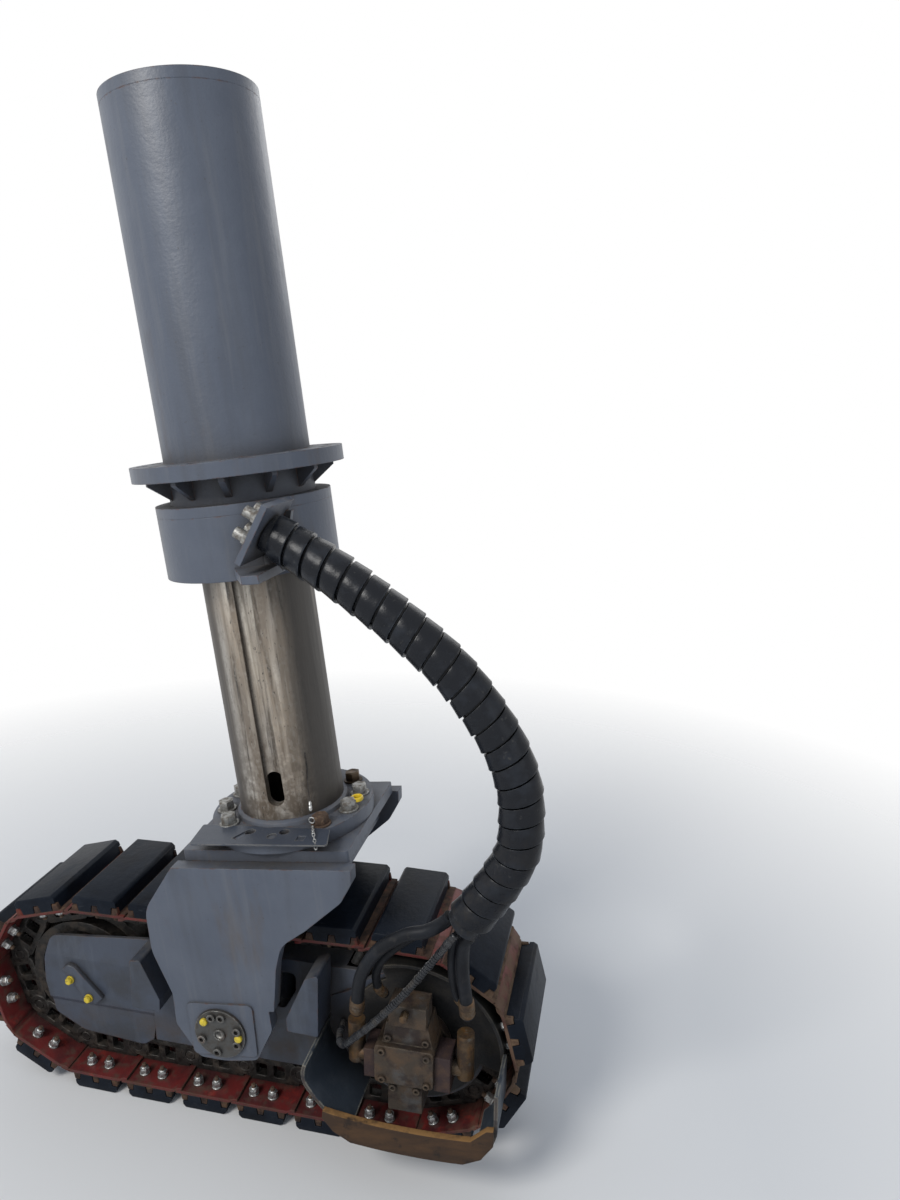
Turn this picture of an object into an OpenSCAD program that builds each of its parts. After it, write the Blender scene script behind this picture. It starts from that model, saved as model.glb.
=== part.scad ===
// Crawler track unit with its lifting and steering column, from a cold planer.
// Z runs up the column, X along the track, and -Y is the outer side.
// The origin is the centre of the upper face of the frame flange.

/* [Guide sleeve] */
// Outside diameter of the guide sleeve
sleeve_od = 290; // [286:1:300]
// Bore of the guide sleeve
sleeve_id = 250; // [246:1:256]
// Length of the sleeve above the frame flange
sleeve_up = 640; // [630:5:700]
// Length of the sleeve below the frame flange
sleeve_down = 120; // [116:1:130]
// Diameter of the frame flange
flange_d = 420; // [410:5:460]
// Thickness of the frame flange
flange_t = 30; // [24:1:34]
// Pitch circle of the frame flange's holes
flange_pcd = 370; // [364:1:374]
// Number of holes in the frame flange
flange_holes = 12; // [8:2:16]
// Diameter of the frame flange's holes
flange_hole_d = 26; // [22:1:28]
// Width of the lip at the sleeve's lower end
lip_w = 10; // [8:1:12]
// Height of that lip
lip_h = 18; // [14:1:20]
// Thickness of the sleeve's cap
cap_t = 20; // [12:1:30]

/* [Steering ring] */
// Outside diameter of the steering ring
ring_od = 350; // [340:2:360]
// Height of the ring below the sleeve
ring_h = 105; // [95:1:110]
// Height of the retaining ring
retainer_h = 20; // [16:1:24]
// Direction of the steering lever, from the X axis
lever_a = 140; // [120:5:160]
// Distance from the column to the lever's bore
lever_r = 300; // [280:5:320]
// Thickness of the lever
lever_t = 40; // [30:1:44]
// Bore of the lever's eye
lever_bore_d = 40; // [30:1:50]

/* [Column] */
// Outside diameter of the lifting column
column_d = 224; // [220:1:230]
// Wall of the lifting column
column_wall = 22; // [18:1:26]
// Height of the column's top above the frame flange
column_top = 240; // [220:5:245]
// Bare column between the ring and its foot
bare_len = 535; // [500:5:560]
// Width of the keyway
groove_w = 36; // [30:1:44]
// Depth of the keyway
groove_t = 12; // [8:1:14]
// Direction of the keyway, from the X axis
groove_a = -82; // [-90:1:-75]
// Height of the window at the keyway's lower end
window_h = 72; // [50:1:90]
// Height of the window's lower end above the foot flange
window_z = 44; // [30:1:60]

/* [Foot and fork] */
// Diameter of the foot flange
foot_d = 350; // [340:2:356]
// Thickness of the foot flange
foot_t = 30; // [24:1:34]
// Thickness of the fork's top plate
plate_t = 25; // [20:1:30]
// Pitch circle of the foot flange's bolts
foot_pcd = 294; // [288:1:300]
// Length of the top plate along the track
plate_l = 366; // [356:2:372]
// Distance between the inner faces of the fork's legs
fork_gap = 320; // [316:1:330]
// Thickness of each leg
leg_t = 30; // [26:1:34]
// Height of the legs above the pivot
leg_h = 390; // [386:1:400]
// Distance from the column's axis back to the pivot
pivot_back = 160; // [155:1:165]
// Diameter of the pivot pins
pivot_d = 80; // [70:1:86]
// Diameter of the pivot pins' outer discs
disc_d = 116; // [110:1:120]

/* [Track] */
// Pitch of the track's links
link_pitch = 140; // [139:0.5:141]
// Number of shoes
shoe_count = 20; // [20:2:22]
// Width of the shoes
shoe_w = 260; // [250:2:270]
// Thickness of the shoes' plates
shoe_t = 8; // [6:1:10]
// Length of the pads along the track
pad_len = 110; // [100:1:116]
// Height of the pads above their shoes
pad_h = 36; // [30:1:44]
// Height of the cleats that hold the pads
cleat_h = 16; // [12:1:20]
// Distance between the link rails' inner faces
rail_gap = 72; // [66:1:76]
// Thickness of each link rail
rail_t = 22; // [18:1:24]
// Tilt of the track to the column at rest
rest_tilt = 6.9; // [5:0.1:8]

/* [Hidden] */
$fn = 64;
e = 0.01;
// Gap of a seat, and running gap of a turning or sliding fit
seat = 0.3;
fit = 0.05;

ring_top = -sleeve_down + lip_h + seat;
ring_bottom = -sleeve_down - ring_h;
foot_z = ring_bottom - bare_len;
plate_z = foot_z - foot_t;
leg_z = plate_z - plate_t;
pivot_z = leg_z - leg_h;
lip_d = sleeve_od + 2 * lip_w;
groove_r = column_d / 2 - groove_t;
leg_y = fork_gap / 2;

// The chain wraps a sprocket of 8.5 links and an idler of 8 links
sprocket_step = 720 / 17;
idler_step = 45;
sprocket_r = link_pitch / 2 / sin(sprocket_step / 2);
idler_r = link_pitch / 2 / sin(idler_step / 2);
straight_run = (shoe_count - 180 / sprocket_step - 180 / idler_step) * link_pitch / 2;
wheel_mid_x = -7;
sprocket_x = wheel_mid_x + straight_run / 2;
idler_x = wheel_mid_x - straight_run / 2;
sprocket_z = -16;
chain_bottom = sprocket_z - sprocket_r;
idler_z = chain_bottom + idler_r;
pin_phase = -5 / link_pitch;
rail_in = 27;
shoe_in = 34;
bush_r = 20;
frame_w = 180;
hub_r = 110;

// Unit vector, and the points of an outline whose corners [x, y, radius] are rounded
function unit(v) = v / norm(v);
function corner(p, q, s, r, n) = let (
    u = unit(p - q), v = unit(s - q), half = acos(u * v) / 2,
    o = q + unit(u + v) * r / sin(half), f = q + u * r / tan(half), t = q + v * r / tan(half),
    a = atan2(f.y - o.y, f.x - o.x), w = atan2(t.y - o.y, t.x - o.x) - a,
    turn = w > 180 ? w - 360 : w < -180 ? w + 360 : w)
    [for (i = [0:n]) o + r * [cos(a + turn * i / n), sin(a + turn * i / n)]];
function xy(c) = [c.x, c.y];
function rounded(c, n = 5) = [for (i = [0:len(c) - 1]) let (k = len(c))
    each (c[i][2] <= 0 ? [xy(c[i])]
        : corner(xy(c[(i + k - 1) % k]), xy(c[i]), xy(c[(i + 1) % k]), c[i][2], n))];

// A slab from y0 to y1 whose outline is drawn in X and Z
module slab(y0, y1) translate([0, y1, 0]) rotate([90, 0, 0]) linear_extrude(y1 - y0) children();
// A round bar along Y from y0 to y1
module bar(r, y0, y1) slab(y0, y1) circle(r);
module tube(ro, ri, z0, z1) translate([0, 0, z0]) linear_extrude(z1 - z0) difference() {
    circle(ro, $fn = 128);
    circle(ri, $fn = 128);
}
module around(n, r, a = 0) for (i = [0:n - 1]) rotate(a + i * 360 / n) translate([r, 0, 0]) children();
// Both sides of the track's middle plane
module both() { children(); mirror([0, 1, 0]) children(); }
// The track's own place: its origin is the pivot, and it tilts with the ground
module at_pivot() translate([-pivot_back, 0, pivot_z]) children();
module on_track() at_pivot() rotate([0, rest_tilt, 0]) children();

// Guide sleeve, welded to the flange that the machine's frame is bolted to
module guide_sleeve() color("slategray") difference() {
    union() {
        tube(sleeve_od / 2, sleeve_id / 2, -sleeve_down, sleeve_up);
        tube(lip_d / 2, sleeve_id / 2, -sleeve_down, -sleeve_down + lip_h);
        tube(flange_d / 2, sleeve_id / 2, -flange_t, 0);
        around(flange_holes, sleeve_od / 2 - 1, 180 / flange_holes) rotate([90, 0, 0])
            translate([0, 0, -6]) linear_extrude(12)
                polygon([[0, 0], [44, -flange_t + 1], [44, -flange_t - 8], [2, -flange_t - 40], [0, -flange_t - 40]]);
    }
    around(flange_holes, flange_pcd / 2) translate([0, 0, -flange_t - e])
        cylinder(d = flange_hole_d, h = flange_t + 2 * e, $fn = 32);
    translate([0, 0, -sleeve_down]) cylinder(d = sleeve_id, h = sleeve_down + 10);
}

module guide_bush() color("peru")
    tube(sleeve_id / 2, column_d / 2 + seat, -sleeve_down, 40);

module guide_cap() color("slategray") union() {
    translate([0, 0, sleeve_up]) cylinder(d = sleeve_od, h = cap_t, $fn = 128);
    translate([0, 0, sleeve_up + cap_t]) cylinder(d = 90, h = 16);
}

// Steering ring: it hangs on the sleeve's lip and turns the column by a key
module steer_ring() color("dimgray") difference() {
    union() {
        tube(ring_od / 2, column_d / 2 + seat, ring_bottom, ring_top);
        rotate(lever_a) translate([0, 0, ring_bottom + 20]) {
            linear_extrude(lever_t) polygon([[100, -120], [lever_r - 12, -46], [lever_r - 12, 46], [100, 120]]);
            translate([lever_r, 0, -5]) cylinder(r = 48, h = lever_t + 10);
        }
    }
    translate([0, 0, ring_bottom - e]) cylinder(r = column_d / 2 + seat, h = ring_h + 2 * e, $fn = 128);
    translate([0, 0, -sleeve_down - seat]) cylinder(d = lip_d + 2 * seat, h = lip_h + 20, $fn = 128);
    rotate(lever_a) translate([lever_r, 0, ring_bottom]) cylinder(d = lever_bore_d, h = 100);
    rotate(groove_a) translate([groove_r + seat, -groove_w / 2 + seat, ring_bottom - e])
        cube([column_d / 2 + 26 - groove_r, groove_w - 2 * seat, 80]);
}

module ring_retainer() color("dimgray") tube(ring_od / 2, sleeve_od / 2 + seat, ring_top, ring_top + retainer_h);

module ring_key() color("silver") rotate(groove_a)
    translate([groove_r + seat, -groove_w / 2 + seat, ring_bottom])
        cube([column_d / 2 + 26 - groove_r, groove_w - 2 * seat, 80 - e]);

// Lifting column with its keyway and the window at the keyway's foot
module column() color("rosybrown") difference() {
    translate([0, 0, plate_z]) cylinder(d = column_d, h = column_top - plate_z, $fn = 128);
    translate([0, 0, plate_z - e]) cylinder(d = column_d - 2 * column_wall, h = column_top - plate_z + 2 * e);
    rotate(groove_a) {
        translate([groove_r, -groove_w / 2, foot_z + window_z + groove_w / 2])
            cube([column_d, groove_w, column_top - foot_z]);
        translate([0, 0, foot_z + window_z + groove_w / 2]) rotate([0, 90, 0]) {
            cylinder(d = groove_w, h = column_d);
            translate([-(window_h - groove_w), 0, 0]) cylinder(d = groove_w, h = column_d);
        }
        translate([0, -groove_w / 2, foot_z + window_z + groove_w / 2])
            cube([column_d, groove_w, window_h - groove_w]);
    }
}

module column_band() color("peru") tube(sleeve_id / 2 - seat, column_d / 2, column_top - 60, column_top - 10);

module foot_flange() color("slategray") difference() {
    union() {
        tube(foot_d / 2, column_d / 2, plate_z, foot_z);
        translate([0, 0, foot_z]) rotate_extrude($fn = 128)
            polygon([[column_d / 2, 0], [column_d / 2 + 11, 0], [column_d / 2 + 8, 8], [column_d / 2, 13]]);
    }
    around(12, foot_pcd / 2, 15) translate([0, 0, plate_z - e]) cylinder(d = 21, h = foot_t + 1, $fn = 24);
}

module top_plate() color("slategray") difference() {
    translate([0, 0, leg_z]) linear_extrude(plate_t) polygon(rounded([
        [-plate_l / 2 - 7, -leg_y, 6], [plate_l / 2 - 7, -leg_y, 6],
        [plate_l / 2 - 7, leg_y, 6], [-plate_l / 2 - 7, leg_y, 6]]));
    around(12, foot_pcd / 2, 15) translate([0, 0, leg_z - e]) cylinder(d = 21, h = plate_t + 1, $fn = 24);
}

// Cross webs that carry the top plate between the fork's legs
module yoke_webs() color("slategray") for (x = [-150, 110]) translate([x, -leg_y, leg_z - 66])
    cube([25, fork_gap, 66]);

// One leg of the fork, drawn about the pivot: [x, z, radius]
leg_outline = [[349, leg_h, 0], [346, 360, 12], [318, 318, 40], [232, 252, 90], [172, 214, 60], [152, 158, 40],
    [131, 56, 3], [119, 56, 3], [119, 10, 25], [72, -68, 20], [0, -76, 200], [-64, -68, 20],
    [-106, 12, 25], [-101, 88, 30], [-130, 190, 110], [-126, 290, 70], [-46, leg_h, 0]];
module leg(y0, y1) difference() {
    at_pivot() slab(y0, y1) polygon(rounded(leg_outline));
    at_pivot() bar(pivot_d / 2, y0 - e, y1 + e);
}
module leg_pad(y0, y1) at_pivot() slab(y0, y1) difference() {
    polygon(rounded([[-74, -58, 12], [76, -58, 12], [84, 70, 12], [-70, 70, 12]]));
    circle(disc_d / 2 + seat);
}
module outer_leg() color("slategray") union() {
    leg(-leg_y - leg_t, -leg_y);
    leg_pad(-leg_y - leg_t - 4, -leg_y - leg_t);
}
module inner_leg() color("slategray") union() {
    leg(leg_y, leg_y + leg_t);
    leg_pad(leg_y + leg_t, leg_y + leg_t + 4);
}

// Pivot pins, one in each leg, with their bolted discs
module pivot_pins() color("silver") at_pivot() both() union() {
    bar(pivot_d / 2, -leg_y - leg_t, -46);
    bar(disc_d / 2, -leg_y - leg_t - 10, -leg_y - leg_t);
}

// Bent sheet over the front of the foot flange, with its three holes
module sheet_bracket() color("slategray") translate([0, 0, foot_z]) linear_extrude(3) difference() {
    polygon(rounded([[-150, -195, 6], [150, -195, 6], [132, -128, 4], [-160, -112, 4]]));
    circle(column_d / 2 + 12);
    translate([-52, -158]) rotate(-30) square([14, 34], center = true);
    translate([18, -160]) circle(10, $fn = 24);
    translate([84, -168]) square([18, 18], center = true);
    around(12, foot_pcd / 2, 15) circle(11, $fn = 24);
}

// Straight and bent parts of the track's frame, drawn about the pivot
frame_profile = [[-90, 38], [-74, 112], [74, 112], [90, 38], [90, -150], [-90, -150]];
module track_frame() color("slategray") on_track() difference() {
    union() {
        intersection() {
            translate([-226, 0, 0]) rotate([90, 0, 90]) linear_extrude(600) polygon(frame_profile);
            slab(-100, 100) polygon(rounded([[-226, 112, 0], [306, 120, 10], [230, 30, 60], [216, -60, 60],
                [262, -150, 10], [-226, -150, 0]]));
        }
        both() bar(72, -leg_y + 5, -frame_w / 2);
        slab(-frame_w / 2, -74) difference() {
            union() {
                translate([sprocket_x, sprocket_z]) circle(160);
                polygon([[190, 38], [400, 140], [400, -170], [190, -110]]);
            }
            translate([sprocket_x, sprocket_z]) circle(70);
        }
    }
    translate([-240, -72, -160]) cube([600, 144, 86]);
    translate([-240, -60, -92]) cube([170, 120, 180]);
    translate([70, -60, -92]) cube([260, 120, 180]);
    translate([sprocket_x, 0, sprocket_z]) bar(sprocket_r + 12, -64, 64);
    bar(pivot_d / 2 + fit, -leg_y, -30);
    mirror([0, 1, 0]) bar(pivot_d / 2 + fit, -leg_y, -30);
    slab(-100, 100) polygon(rounded([[90, 84, 12], [128, 82, 12], [130, 45, 20], [104, -2, 12], [80, -2, 12]]));
}

// Bent cover at the idler's end: a folded section, cut to the side outline
cover_section = [[-84, -180], [-84, -90], [-90, -78], [-90, 38], [-74, 112], [-66, 112], [-80, 36],
    [-80, -76], [-74, -88], [-74, -180]];
cover_outline = [[-226, 109, 0], [-490, 84, 24], [-506, 24, 30], [-509, -34, 30], [-494, -124, 20],
    [-422, -164, 40], [-264, -176, 20], [-236, -156, 10], [-226, -105, 0]];
module outer_cover() color("slategray") on_track() intersection() {
    translate([-520, 0, 0]) rotate([90, 0, 90]) linear_extrude(520 - 226) polygon(cover_section);
    slab(-100, 0) polygon(rounded(cover_outline));
}
module inner_cover() mirror([0, 1, 0]) outer_cover();

// Stop blocks that limit the fork's swing, welded to both sides of the frame
module stop_blocks() color("slategray") on_track() both() slab(-leg_y - 10, -frame_w / 2) union() {
    polygon(rounded([[-224, 124, 6], [-198, 126, 6], [-157, 34, 4], [-159, 4, 4], [-226, 4, 4]]));
    polygon(rounded([[186, 146, 6], [216, 160, 6], [212, 8, 4], [142, 10, 4], [140, 40, 4]]));
}

module top_skid() color("dimgray") on_track() translate([-80, -58, 112])
    cube([160, 116, 24]);

module idler() color("dimgray") on_track() translate([idler_x, 0, idler_z]) {
    tread = idler_r * cos(idler_step / 2) - rail_in - seat;
    rotate([90, 0, 0]) rotate_extrude() polygon([[0, -80 + seat], [30, -80 + seat], [30, -62], [60, -62],
        [60, -30], [tread - 24, -30], [tread - 24, -60], [tread, -60], [tread, -30], [tread + 16, -24],
        [tread + 16, 24], [tread, 30], [tread, 60], [tread - 24, 60], [tread - 24, 30], [60, 30], [60, 62],
        [30, 62], [30, 80 - seat], [0, 80 - seat]]);
}

module rollers() color("dimgray") on_track() for (x = [-180, -62, 62, 180])
    translate([x, 0, chain_bottom + rail_in + seat + 48]) rotate([90, 0, 0]) rotate_extrude()
        polygon([[0, -71.7], [26, -71.7], [26, -64], [56, -64], [56, -60], [48, -58], [48, -32], [38, -28],
            [38, 28], [48, 32], [48, 58], [56, 60], [56, 64], [26, 64], [26, 71.7], [0, 71.7]]);

module sprocket() color("dimgray") on_track() translate([sprocket_x, 0, sprocket_z]) difference() {
    bar(sprocket_r + 4, -24, 24);
    for (i = [0:16]) rotate([0, 90 - pin_phase * sprocket_step + i * sprocket_step / 2, 0])
        translate([sprocket_r, 0, 0]) bar(bush_r + 0.6, -25, 25);
    bar(hub_r, -25, 25);
}

module final_drive() color("dimgray") on_track() translate([sprocket_x, 0, sprocket_z]) union() {
    bar(70, -frame_w / 2, -60);
    bar(hub_r, -74, 60);
    bar(hub_r - 14, 60, 84);
    bar(60, 84, 96);
}

// Side plate and rim round the drive, open towards the motor guard
cowl_r = 203;
module drive_cowl() color("slategray") on_track() translate([sprocket_x, 0, sprocket_z]) union() {
    slab(-98, -frame_w / 2) difference() {
        circle(150);
        circle(70);
    }
    slab(-130, -frame_w / 2) difference() {
        circle(cowl_r, $fn = 96);
        circle(cowl_r - 8, $fn = 96);
        polygon([[0, 0], [-110, 250], [-300, 250], [-300, -300], [160, -300], [300, -84]]);
    }
    slab(-98, -frame_w / 2) difference() {
        circle(cowl_r - 4, $fn = 96);
        circle(149);
        polygon([[0, 0], [-110, 250], [-300, 250], [-300, -300], [160, -300], [300, -84]]);
    }
}

module motor_body() color("darkkhaki") on_track() union() {
    slab(-200, -120) polygon(rounded([[346, -47, 8], [470, -47, 8], [470, 42, 8], [346, 42, 8]]));
    slab(-186, -120) polygon([[359, 42], [466, 42], [456, 90], [368, 90]]);
    slab(-194, -140) polygon([[375, 90], [454, 90], [454, 138], [375, 138]]);
    slab(-190, -120) polygon([[372, -120], [444, -120], [444, -47], [372, -47]]);
    translate([sprocket_x, 0, sprocket_z]) bar(84, -120, -98);
}

module motor_ports() color("rosybrown") on_track() union() {
    slab(-190, -130) polygon([[320, -48], [346, -48], [346, 20], [320, 20]]);
    slab(-190, -130) polygon([[470, -56], [504, -56], [504, 26], [470, 26]]);
}

module port_elbows() color("goldenrod") on_track() union() {
    for (x = [[296, 320], [504, 530]]) translate([x[0], -160, -14]) rotate([0, 90, 0])
        cylinder(r = 17, h = x[1] - x[0]);
    translate([296, -160, -32]) cylinder(r = 18, h = 96, $fn = 32);
    translate([530, -160, -32]) cylinder(r = 18, h = 104, $fn = 32);
}

// Guard under the motor: a bent plate with a heavy front bar
module motor_guard() color("saddlebrown") on_track() union() {
    slab(-246, -frame_w / 2) polygon([[206, 4], [196, -32], [250, -104], [303, -140], [310, -134], [257, -98],
        [205, -31], [214, 4]]);
    slab(-246, -130) polygon([[566, -140], [604, -96], [604, 10], [596, 10], [596, -94], [560, -134]]);
    slab(-260, -246) polygon([[252, -86], [250, -104], [300, -146], [570, -146], [606, -96], [606, -60],
        [592, -60], [560, -88], [300, -88]]);
}

// The chain in its own plane: pins every pitch along the two wheels and the two straight runs
function pin_at(k) = let (
    s = k - pin_phase, run = straight_run / link_pitch, si = s - run, su = si - 180 / idler_step, ss = su - run)
    s < run && s >= 0 ? [sprocket_x - s * link_pitch, chain_bottom]
    : si >= 0 && si < 180 / idler_step
        ? [idler_x - idler_r * sin(si * idler_step), idler_z - idler_r * cos(si * idler_step)]
    : su >= 0 && su < run
        ? [idler_x + su * link_pitch, idler_z + idler_r + (sprocket_r - idler_r) * 2 * su / run]
    : let (t = s < 0 ? 180 + s * sprocket_step : ss * sprocket_step)
        [sprocket_x + sprocket_r * sin(t), sprocket_z + sprocket_r * cos(t)];
module each_link() for (k = [0:shoe_count - 1]) {
    p = pin_at(k);
    q = pin_at((k + 1) % shoe_count);
    translate((p + q) / 2) rotate(atan2(q.y - p.y, q.x - p.x) + 180) children();
}
module rail_outline() union() {
    polygon([[-66, -shoe_in], [-80, -10], [-74, 22], [-56, rail_in], [56, rail_in], [74, 22], [80, -10], [66, -shoe_in]]);
    for (x = [-1, 1]) translate([x * link_pitch / 2, 0]) circle(23, $fn = 12);
}
module track_chain() color("firebrick") on_track() union() {
    slab(-shoe_w / 2, shoe_w / 2) each_link() mirror([0, 1]) polygon([[-72, shoe_in], [64, shoe_in],
        [74, shoe_in - 6], [84, shoe_in - 6], [84, shoe_in], [76, shoe_in + 1], [66, shoe_in + shoe_t],
        [-72, shoe_in + shoe_t]]);
    both() slab(-rail_gap / 2 - rail_t, -rail_gap / 2) each_link() rail_outline();
    slab(-rail_gap / 2, rail_gap / 2) each_link() translate([-link_pitch / 2, 0]) circle(bush_r, $fn = 12);
    both() slab(-shoe_w / 2, -shoe_w / 2 + 10) each_link() for (x = [-50, 0, 50])
        translate([x - 8, -shoe_in - shoe_t - cleat_h]) square([16, cleat_h + 1]);
}

module track_pads() color("#2c2e33") on_track() difference() {
    slab(-shoe_w / 2, shoe_w / 2) each_link() mirror([0, 1]) translate([0, shoe_in + shoe_t]) polygon([
        [-pad_len / 2, 0], [pad_len / 2, 0], [pad_len / 2, pad_h - 8], [pad_len / 2 - 6, pad_h],
        [-pad_len / 2 + 6, pad_h], [-pad_len / 2, pad_h - 8]]);
    both() slab(-shoe_w / 2 - 1, -shoe_w / 2 + 11) each_link() for (x = [-50, 0, 50])
        translate([x - 9, -shoe_in - shoe_t - cleat_h - 1]) square([18, cleat_h + 1]);
}

// Hoses: tubes swept along routes of round numbers
function tangent(p, i) = unit(p[min(i + 1, len(p) - 1)] - p[max(i - 1, 0)]);
function ring_at(c, t, r, n) = let (side = unit(cross(t, abs(t.y) < 0.9 ? [0, 1, 0] : [1, 0, 0])), up = cross(side, t))
    [for (j = [0:n - 1]) c + r * (cos(360 * j / n) * side + sin(360 * j / n) * up)];
module hose(p, d, n = 10) polyhedron(
    [for (i = [0:len(p) - 1]) each ring_at(p[i], tangent(p, i), d / 2, n)],
    concat([[for (j = [0:n - 1]) j]], [[for (j = [n - 1:-1:0]) (len(p) - 1) * n + j]],
        [for (i = [0:len(p) - 2], j = [0:n - 1]) let (a = i * n + j, b = i * n + (j + 1) % n) each
            [[a, a + n, b], [b, a + n, b + n]]]));
// Points of a smooth curve through a route, m to each span
function knot(p, i) = i < 0 ? 2 * p[0] - p[1] : i >= len(p) ? 2 * p[len(p) - 1] - p[len(p) - 2] : p[i];
function smooth(p, m) = concat([for (i = [0:len(p) - 2], j = [0:m - 1]) let (
    t = j / m, a = knot(p, i - 1), b = p[i], c = p[i + 1], d = knot(p, i + 2))
    (2 * b + (c - a) * t + (2 * a - 5 * b + 4 * c - d) * t * t + (3 * b - a - 3 * c + d) * t * t * t) / 2],
    [p[len(p) - 1]]);

guard_d = 88;
// Where the hoses leave the guard: across, back and along from the centre of its end
guard_end = [410, -220, -907];
function mouth(a, b) = [for (s = [3, 20]) guard_end + a * unit([1, 0, -1]) + [0, b, 0] + s * unit([-1, 0, -1])];
guard_route = [[130, -195, -135], [174, -195, -166], [243, -203, -212], [310, -208, -267], [376, -210, -329],
    [441, -212, -399], [488, -214, -470], [526, -215, -547], [545, -216, -624], [543, -217, -693],
    [530, -218, -754], [490, -219, -816], [436, -220, -881], guard_end];
left_route = [each mouth(-27, 2), [346, -241, -908], [301, -242, -918], [242, -238, -955],
    [196, -228, -1019], [172, -210, -1090], [160, -195, -1130]];
right_route = [each mouth(24, -6), [403, -214, -975], [398, -212, -1020], [396, -205, -1080],
    [392, -192, -1130]];
drain_route = [each mouth(-12, 26), [317, -212, -935], [247, -210, -985], [218, -203, -1030],
    [210, -185, -1080], [215, -165, -1110]];
brake_route = [each mouth(10, 26), [379, -196, -965], [370, -190, -1030], [371, -178, -1095], [386, -160, -1140]];
conduit_route = [each mouth(-4, -32), [358, -230, -968], [281, -232, -1055], [214, -222, -1125], [152, -195, -1190],
    [112, -182, -1226], [88, -142, -1238], [80, -91.6, -1240]];

module spiral_guard() color("#202226") hose(smooth(guard_route, 2), guard_d, 12);
module motor_hose_left() color("#1c1d20") hose(smooth(left_route, 3), 26);
module motor_hose_right() color("#1c1d20") hose(smooth(right_route, 3), 26);
module drain_hose() color("#1c1d20") hose(smooth(drain_route, 3), 18);
module brake_hose() color("#1c1d20") hose(smooth(brake_route, 3), 18);
module sensor_conduit() color("#1c1d20") hose(smooth(conduit_route, 3), 15);

// Bracket on the steering ring that holds the upper end of the hoses
bulkhead_a = 35;
module at_bulkhead() translate(guard_route[0]) rotate([0, -90 + bulkhead_a, 0]) children();
module hose_bracket() color("slategray") difference() {
    union() {
        at_bulkhead() translate([-60, -60, 4 * seat]) cube([120, 120, 12]);
        translate([0, -255, ring_bottom + 8]) linear_extrude(16)
            polygon([[20, 115], [126, 115], [126, 0], [92, 0]]);
        slab(-149, -137) polygon([[40, ring_bottom + 8], [126, ring_bottom + 8], [161, -104], [60, -104]]);
    }
    translate([0, 0, -250]) cylinder(d = ring_od, h = 300, $fn = 128);
}
module hose_couplings() color("silver") at_bulkhead() for (p = [[-22, -22], [22, -22], [-22, 22], [22, 22]])
    translate([p[0], p[1], 12 + 5 * seat]) {
        cylinder(d = 32, h = 14, $fn = 6);
        cylinder(d = 22, h = 34, $fn = 24);
    }

guide_sleeve();
guide_bush();
guide_cap();
steer_ring();
ring_retainer();
ring_key();
hose_bracket();
hose_couplings();
column();
column_band();
foot_flange();
top_plate();
yoke_webs();
outer_leg();
inner_leg();
pivot_pins();
sheet_bracket();
spiral_guard();
track_frame();
outer_cover();
inner_cover();
stop_blocks();
top_skid();
idler();
rollers();
sprocket();
final_drive();
drive_cowl();
motor_body();
motor_ports();
port_elbows();
motor_guard();
track_chain();
track_pads();
motor_hose_left();
motor_hose_right();
drain_hose();
brake_hose();
sensor_conduit();
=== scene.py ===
import math

import bmesh
import bpy
from mathutils import Matrix, Vector


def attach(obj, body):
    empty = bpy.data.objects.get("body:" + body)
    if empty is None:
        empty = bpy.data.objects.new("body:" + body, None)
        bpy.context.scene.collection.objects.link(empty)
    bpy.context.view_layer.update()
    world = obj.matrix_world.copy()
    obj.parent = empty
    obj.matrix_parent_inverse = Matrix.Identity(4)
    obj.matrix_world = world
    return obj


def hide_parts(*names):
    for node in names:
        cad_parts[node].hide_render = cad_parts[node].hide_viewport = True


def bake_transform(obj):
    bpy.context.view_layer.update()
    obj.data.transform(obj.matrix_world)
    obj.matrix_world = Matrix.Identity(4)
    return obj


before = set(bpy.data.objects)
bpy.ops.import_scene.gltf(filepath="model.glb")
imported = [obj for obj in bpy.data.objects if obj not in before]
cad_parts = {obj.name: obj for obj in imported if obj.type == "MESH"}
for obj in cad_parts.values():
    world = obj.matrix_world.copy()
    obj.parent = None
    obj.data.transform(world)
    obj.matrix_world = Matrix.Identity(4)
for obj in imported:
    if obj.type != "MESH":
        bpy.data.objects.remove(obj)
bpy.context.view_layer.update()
print("frame loaded")

scene = bpy.context.scene
scene.view_settings.view_transform = "Standard"
origin = Matrix.Identity(4)
mirrored = Matrix.Diagonal((1, -1, 1, 1))
faceOut = Matrix.Rotation(math.radians(90), 4, "X")


# Mesh helpers, all in millimetres
def newMesh():
    return bmesh.new()


def outward(bm):
    bmesh.ops.recalc_face_normals(bm, faces=bm.faces)
    return bm


def tidyNormals(bm):
    bmesh.ops.remove_doubles(bm, verts=bm.verts, dist=0.01)
    return outward(bm)


def lathe(profile, steps=24):  # profile is (radius, z), turned about Z
    bm = newMesh()
    verts = [bm.verts.new((r, 0, z)) for r, z in profile]
    edges = [bm.edges.new(pair) for pair in zip(verts, verts[1:])]
    bmesh.ops.spin(bm, geom=verts + edges, axis=(0, 0, 1), cent=(0, 0, 0), angle=2 * math.pi, steps=steps,
                   use_merge=True)
    return tidyNormals(bm)


def slab(outline, y0, y1):  # an outline in X and Z, between two levels of Y
    bm = newMesh()
    face = bm.faces.new([bm.verts.new((x, y0, z)) for x, z in outline])
    grown = bmesh.ops.extrude_face_region(bm, geom=[face])
    farSide = [v for v in grown["geom"] if isinstance(v, bmesh.types.BMVert)]
    bmesh.ops.translate(bm, verts=farSide, vec=(0, y1 - y0, 0))
    return tidyNormals(bm)


def block(x0, x1, z0, z1, y0, y1):
    return slab([(x0, z0), (x1, z0), (x1, z1), (x0, z1)], y0, y1)


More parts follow.
